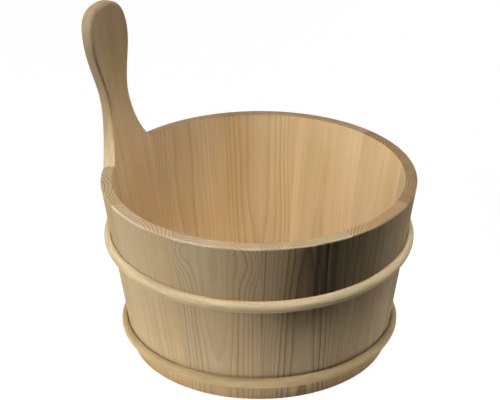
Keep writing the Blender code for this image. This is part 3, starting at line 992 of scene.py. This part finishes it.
# The rim's end grain is set lighter on staves 1 to 4 and darker on staves 5 to 10: partly its own tone,
# partly painted light and shade
STAVES = {
    1: (0.136, -0.001, 0.160, 0.010, 0.0031, 0.40, 1.03, 1.09, 0.1, 1.0, 1.0, 0.6, 1.7),
    2: (0.134, 0.002, 0.145, -0.015, 0.0030, 0.45, 1.04, 1.06, 0.1, 1.0, 1.0, 0.6, 2.9),
    3: (0.140, -0.004, 0.135, 0.020, 0.0026, 1.05, 0.99, 1.00, 0.1, 1.0, 0.45, 0.6, 17.1),
    4: (0.138, 0.002, 0.175, -0.010, 0.0024, 1.50, 0.94, 1.00, 0.1, 1.0, 0.45, 0.6, 18.5),
    5: (0.136, -0.004, 0.160, -0.020, 0.0025, 0.80, 0.97, 0.91, 0.9, 1.0, 0.45, 0.15, 18.8),
    6: (0.134, 0.000, 0.150, 0.015, 0.0022, 0.60, 0.85, 0.81, 0.9, 0.0, 0.45, 0.15, 6.6),
    7: (0.137, -0.008, 0.130, 0.030, 0.0024, 0.24, 0.97, 0.77, 0.9, 0.0, 0.45, 0.15, 7.2),
    8: (0.133, 0.006, 0.165, -0.010, 0.0026, 0.22, 1.03, 0.83, 0.9, 0.1, 0.45, 0.15, 8.9),
    9: (0.138, -0.003, 0.140, 0.025, 0.0025, 0.80, 1.01, 0.84, 0.9, 0.55, 0.45, 0.15, 64.1),
    10: (0.135, 0.004, 0.155, -0.020, 0.0025, 0.55, 1.05, 0.84, 0.9, 0.25, 0.45, 0.15, 10.4),
}
# The stain on staves 4 and 5 is partly stain and partly painted shade
STAVE_MARKS = {
    3: {"knot_across": -0.032, "knot_height": 0.140, "knot_depth": -0.010,
        "second_knot_across": 0.030, "second_knot_height": 0.135, "second_knot_depth": -0.006,
        # The marks under the upper hoop, here and on stave 4, are painted shade of the hoop
        "hoop_shade_across": 0.0566, "hoop_shade_depth": 0.55},
    4: {"stain_and_shade_across": 0.016, "stain_and_shade_width": 0.026, "stain_and_shade_depth": 1.0,
        "hoop_shade_across": -0.012, "hoop_shade_depth": 0.55},
    5: {"stain_and_shade_across": -0.034, "stain_and_shade_width": 0.042, "stain_and_shade_depth": 0.65},
}
pattern = model_stave()
for number, settings in STAVES.items():
    name = f"stave_{number:02d}"
    turn = stave_turn(number)
    stave = copy_piece(pattern, name + "_wood")
    to_axis(stave, turn)
    pine = pine_material(name + "_pine", (0, 0, turn), slope=TAPER, end_height=RIM_PLANE,
                         **dict(zip(STAVE_SETTINGS, settings)), **STAVE_MARKS.get(number, {}))
    dress(stave, pine, name)
bpy.data.objects.remove(pattern)

# Handle
handle = model_handle()
to_axis(handle, stave_turn(0))
handle_pine = pine_material("handle_pine", (0, 0, stave_turn(0)), pith_out=0.080, pith_across=0.030,
                            lean_out=0.150, lean_across=0.02, ring_width=0.0040, ring_depth=0.35,
                            tone=1.10, seed=12.5, slope=TAPER, damp=1, grip=1)
dress(handle, handle_pine, "handle_stave")

# Bottom boards: pith above and across, tone and seed
BOARDS = ((0.050, -0.058, 0.86, 20.0), (0.030, 0.012, 0.91, 26.0), (0.060, 0.085, 0.84, 33.0))
for number, (pith_out, pith_across, tone, seed) in enumerate(BOARDS):
    board = model_board(number)
    to_axis(board, 0)
    pine = pine_material(f"bottom_pine_{number + 1}", (0, math.pi / 2, 0), pith_out=pith_out,
                         pith_across=pith_across, lean_out=0.03, lean_across=0.02, ring_width=0.0027,
                         ring_depth=0.6, tone=tone, seed=seed)
    dress(board, pine, f"bottom_board_{number + 1}")

# Hoops and brads: height, width, back, tilt and scarf of each hoop, its two colours and its seed
HOOPS = {
    "upper_hoop": (UPPER_HOOP_HEIGHT, UPPER_HOOP_WIDTH, UPPER_HOOP_BACK, UPPER_HOOP_TILT, UPPER_SCARF_STAVE,
                   UPPER_HOOP_PALE, UPPER_HOOP_DARK, 31.0),
    "lower_hoop": (LOWER_HOOP_HEIGHT, LOWER_HOOP_WIDTH, LOWER_HOOP_BACK, LOWER_HOOP_TILT, LOWER_SCARF_STAVE,
                   LOWER_HOOP_PALE, LOWER_HOOP_DARK, 47.0),
}
steel = steel_material()
for name, (height, width, back, tilt, number, pale, dark, seed) in HOOPS.items():
    turn = stave_turn(number)
    hoop = model_hoop(name, height, width, back, tilt, turn)
    to_axis(hoop, turn)
    dress(hoop, hoop_material(name + "_bent_wood", height, tilt, pale, dark, seed), name)
    scarf_height = height + hoop_rise(height, tilt, turn)
    for i, side in enumerate((-1, 1)):
        brad_name = f"{name}_brad_{i + 1}"
        brad = model_brad(brad_name, scarf_height, side)
        to_axis(brad, turn)
        dress(brad, steel, brad_name)

# Hidden pins and dowels, kept as they are in the CAD
beech = pine_material("dowel_beech", (0, math.pi / 2, 0), pith_out=0.3, pith_across=0.2, ring_width=0.0012,
                      ring_depth=0.3, tone=1.05, seed=40.0)
for name, cad_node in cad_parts.items():
    if name.startswith("pin_") or name.startswith("bottom_dowel"):
        cad_node.data.materials.clear()
        cad_node.data.materials.append(beech)

# Floor and studio; the floor throws back less light beyond the bucket's foot
FLOOR_SIZE = 8
FLOOR_DROP = 0.0005
FLOOR_PALENESS = (0.14, 0.255, 0.9, 0.12)
FLOOR_GLOW = 1.15
FLOOR_GLOW_SHARE = 0.82
STUDIO_STRENGTH = (0, 1, 0.04, 1.0)


def seen_directly(tree):
    """1 for a ray from the camera or one that a bright or clear surface passes on, else 0."""
    rays = node(tree, "ShaderNodeLightPath")
    passed_on = calc(tree, "MAXIMUM", rays.outputs["Is Glossy Ray"], rays.outputs["Is Transmission Ray"])
    return calc(tree, "MAXIMUM", rays.outputs["Is Camera Ray"], passed_on)


def floor_material():
    """White to look at, with the bucket's shadow on it."""
    material, tree, shader = new_material("white_floor")
    tree.nodes.remove(shader)
    seen = seen_directly(tree)
    reach = node(tree, "ShaderNodeVectorMath", operation="LENGTH")
    feed(tree, reach.inputs[0], node(tree, "ShaderNodeTexCoord").outputs["Object"])
    paleness = spread(tree, reach.outputs["Value"], *FLOOR_PALENESS, True)
    matt = node(tree, "ShaderNodeBsdfDiffuse")
    feed(tree, matt.inputs["Color"], calc(tree, "MAXIMUM", paleness, seen))
    glow = node(tree, "ShaderNodeEmission")
    glow.inputs["Strength"].default_value = FLOOR_GLOW
    both = node(tree, "ShaderNodeMixShader")
    feed(tree, both.inputs["Fac"], times(tree, seen, FLOOR_GLOW_SHARE))
    feed(tree, both.inputs[1], matt.outputs[0])
    feed(tree, both.inputs[2], glow.outputs[0])
    feed(tree, tree.nodes["Material Output"].inputs["Surface"], both.outputs[0])
    return material


start()
bpy.ops.mesh.primitive_plane_add(size=FLOOR_SIZE, location=(0, 0, -FLOOR_DROP))
floor = bpy.context.object
floor.name = "floor"
floor.data.materials.append(floor_material())

world = bpy.data.worlds.new("studio")
bpy.context.scene.world = world
world.use_nodes = True
tree = world.node_tree
background = tree.nodes["Background"]
feed(tree, background.inputs["Strength"], spread(tree, seen_directly(tree), *STUDIO_STRENGTH))
background.inputs["Color"].default_value = (1, 1, 1, 1)

# Lamps: azimuth from the camera's right and elevation, in degrees, then size, power, beam in degrees and aim
LAMPS = {
    "key": (206, 18, 0.9, 19.5, 180, (0, 0, 0.12)),
    "right": (33, 6, 0.9, 13.4, 180, (0, 0, 0.12)),
    "top": (270, 89, 0.35, 0.18, 16, (0, 0, 0)),
    "inside": (273, 60, 0.14, 0.062, 11, (0.015, 0.115, 0.09)),
    "front": (300, 80.5, 0.30, 0.21, 12, (0.07, -0.12, 0.05)),
    "left_top": (200, 84, 0.35, 0.18, 16, (-0.09, -0.03, 0.1)),
}
LAMP_DISTANCE = 1.7
BUCKET_AXIS = Vector((AXIS_X, 0, 0))
CAMERA_TURN = math.radians(23.75)
TO_CAMERA_SIDE = Matrix.Rotation(CAMERA_TURN, 3, "Z")


def lamp(name, azimuth, elevation, size, power, beam, aim):
    """Square soft light that faces the bucket."""
    data = bpy.data.lights.new(name, "AREA")
    data.size = size
    data.energy = power
    data.spread = math.radians(beam)
    light = bpy.data.objects.new(name, data)
    bpy.context.scene.collection.objects.link(light)
    a, e = math.radians(azimuth), math.radians(elevation)
    direction = TO_CAMERA_SIDE @ Vector((math.cos(a) * math.cos(e), math.sin(a) * math.cos(e), math.sin(e)))
    light.location = BUCKET_AXIS + TO_CAMERA_SIDE @ Vector(aim) + direction * LAMP_DISTANCE
    light.rotation_euler = direction.to_track_quat("Z", "Y").to_euler()


for name, settings in LAMPS.items():
    lamp(name, *settings)

# Camera; its distances are in rim radii, its lens and sensor in millimetres
CAMERA_LENS = 136.155
SENSOR_WIDTH = 36
CAMERA_BACK = 10.7362
CAMERA_UP = 6.3583
CAMERA_YAW = -0.0053
CAMERA_PITCH = 0.4653
CAMERA_ROLL = -0.006
data = bpy.data.cameras.new("camera")
data.lens = CAMERA_LENS
data.sensor_width = SENSOR_WIDTH
camera = bpy.data.objects.new("camera", data)
bpy.context.scene.collection.objects.link(camera)
camera.location = TO_CAMERA_SIDE @ Vector((0, -CAMERA_BACK, CAMERA_UP)) * RIM_RADIUS + BUCKET_AXIS
aim = (Matrix.Rotation(CAMERA_TURN - CAMERA_YAW, 3, "Z")
       @ Matrix.Rotation(math.pi / 2 - CAMERA_PITCH, 3, "X") @ Matrix.Rotation(CAMERA_ROLL, 3, "Z"))
camera.rotation_euler = aim.to_euler()
bpy.context.scene.camera = camera
bpy.context.scene.view_settings.view_transform = "Standard"
